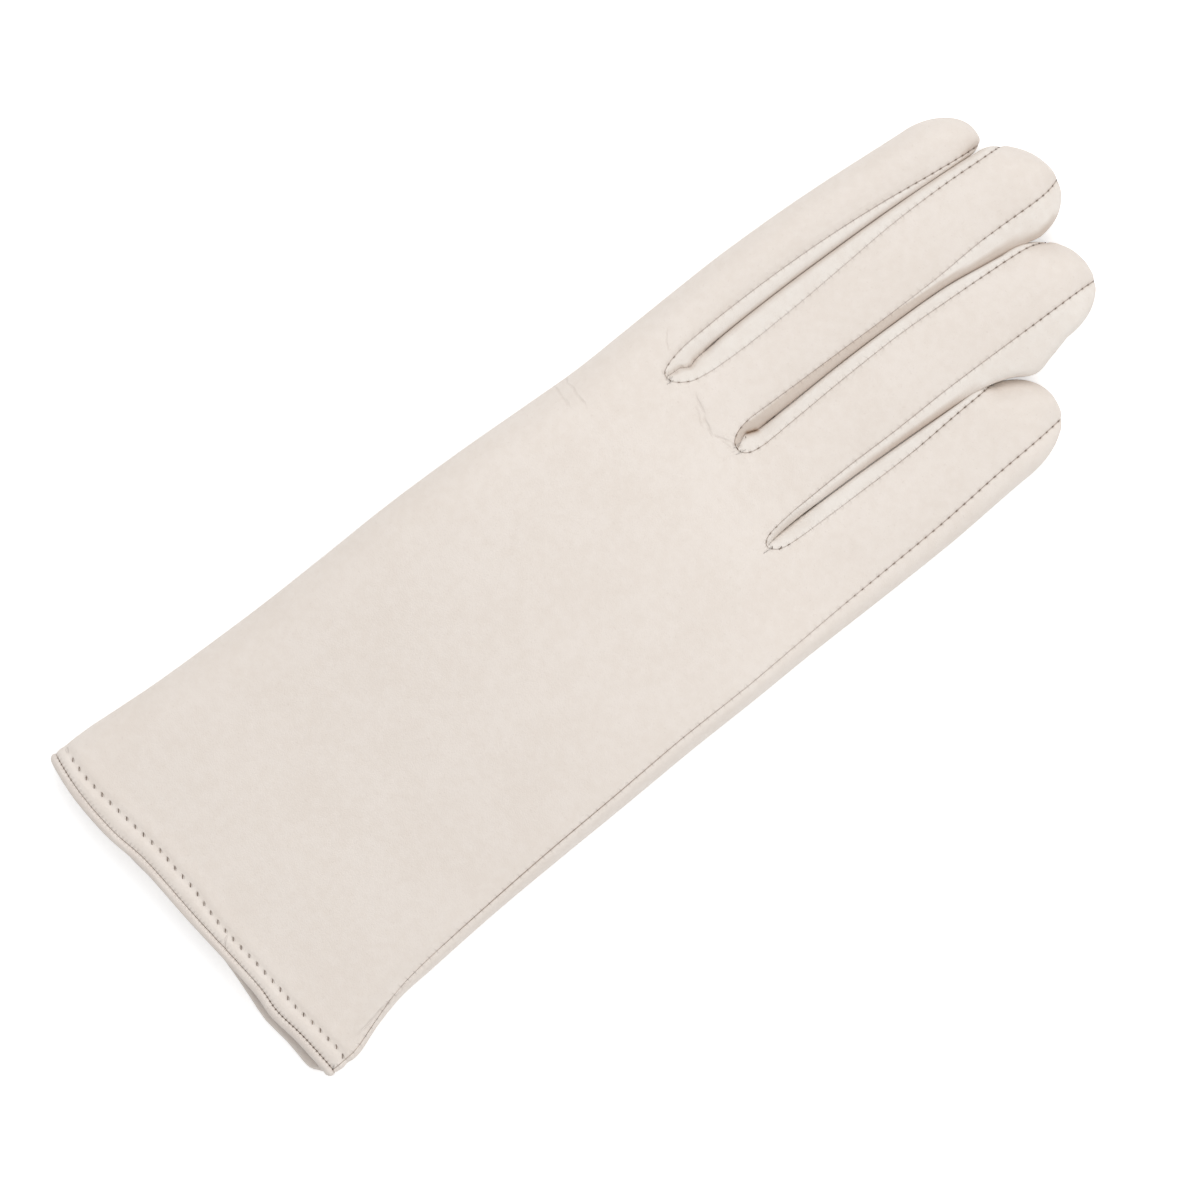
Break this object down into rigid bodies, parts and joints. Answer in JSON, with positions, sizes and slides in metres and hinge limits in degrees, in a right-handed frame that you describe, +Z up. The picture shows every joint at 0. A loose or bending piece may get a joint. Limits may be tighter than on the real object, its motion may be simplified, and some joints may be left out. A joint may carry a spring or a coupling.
{
  "type": "nappa leather dress glove",
  "caption": "Short unlined right-hand dress glove in cream nappa leather, lying back up and flat, with side strips between the fingers, a folded thumb and a rolled cuff edge.",
  "frame": {"origin": "on the surface that the glove lies on, under the middle of its footprint", "axes": "+Y from the cuff towards the fingertips, +X towards the little finger, +Z up through the back of the hand"},
  "size_m": [0.1, 0.2726, 0.0184],
  "materials": {
    "nappa": "soft satin nappa with a very fine grain",
    "strip_nappa": "soft satin nappa, a little lighter",
    "binding_nappa": "soft satin nappa, tightly rolled"
  },
  "bodies": {
    "root": {"trank_back": "nappa", "trank_palm": "nappa", "thumb_upper": "nappa", "thumb_lower": "nappa", "fourchette_index": "strip_nappa", "fourchette_middle_index_side": "strip_nappa", "fourchette_middle_ring_side": "strip_nappa", "fourchette_ring_middle_side": "strip_nappa", "fourchette_ring_little_side": "strip_nappa", "fourchette_little": "strip_nappa", "cuff_binding": "binding_nappa"}
  },
  "joints": []
}
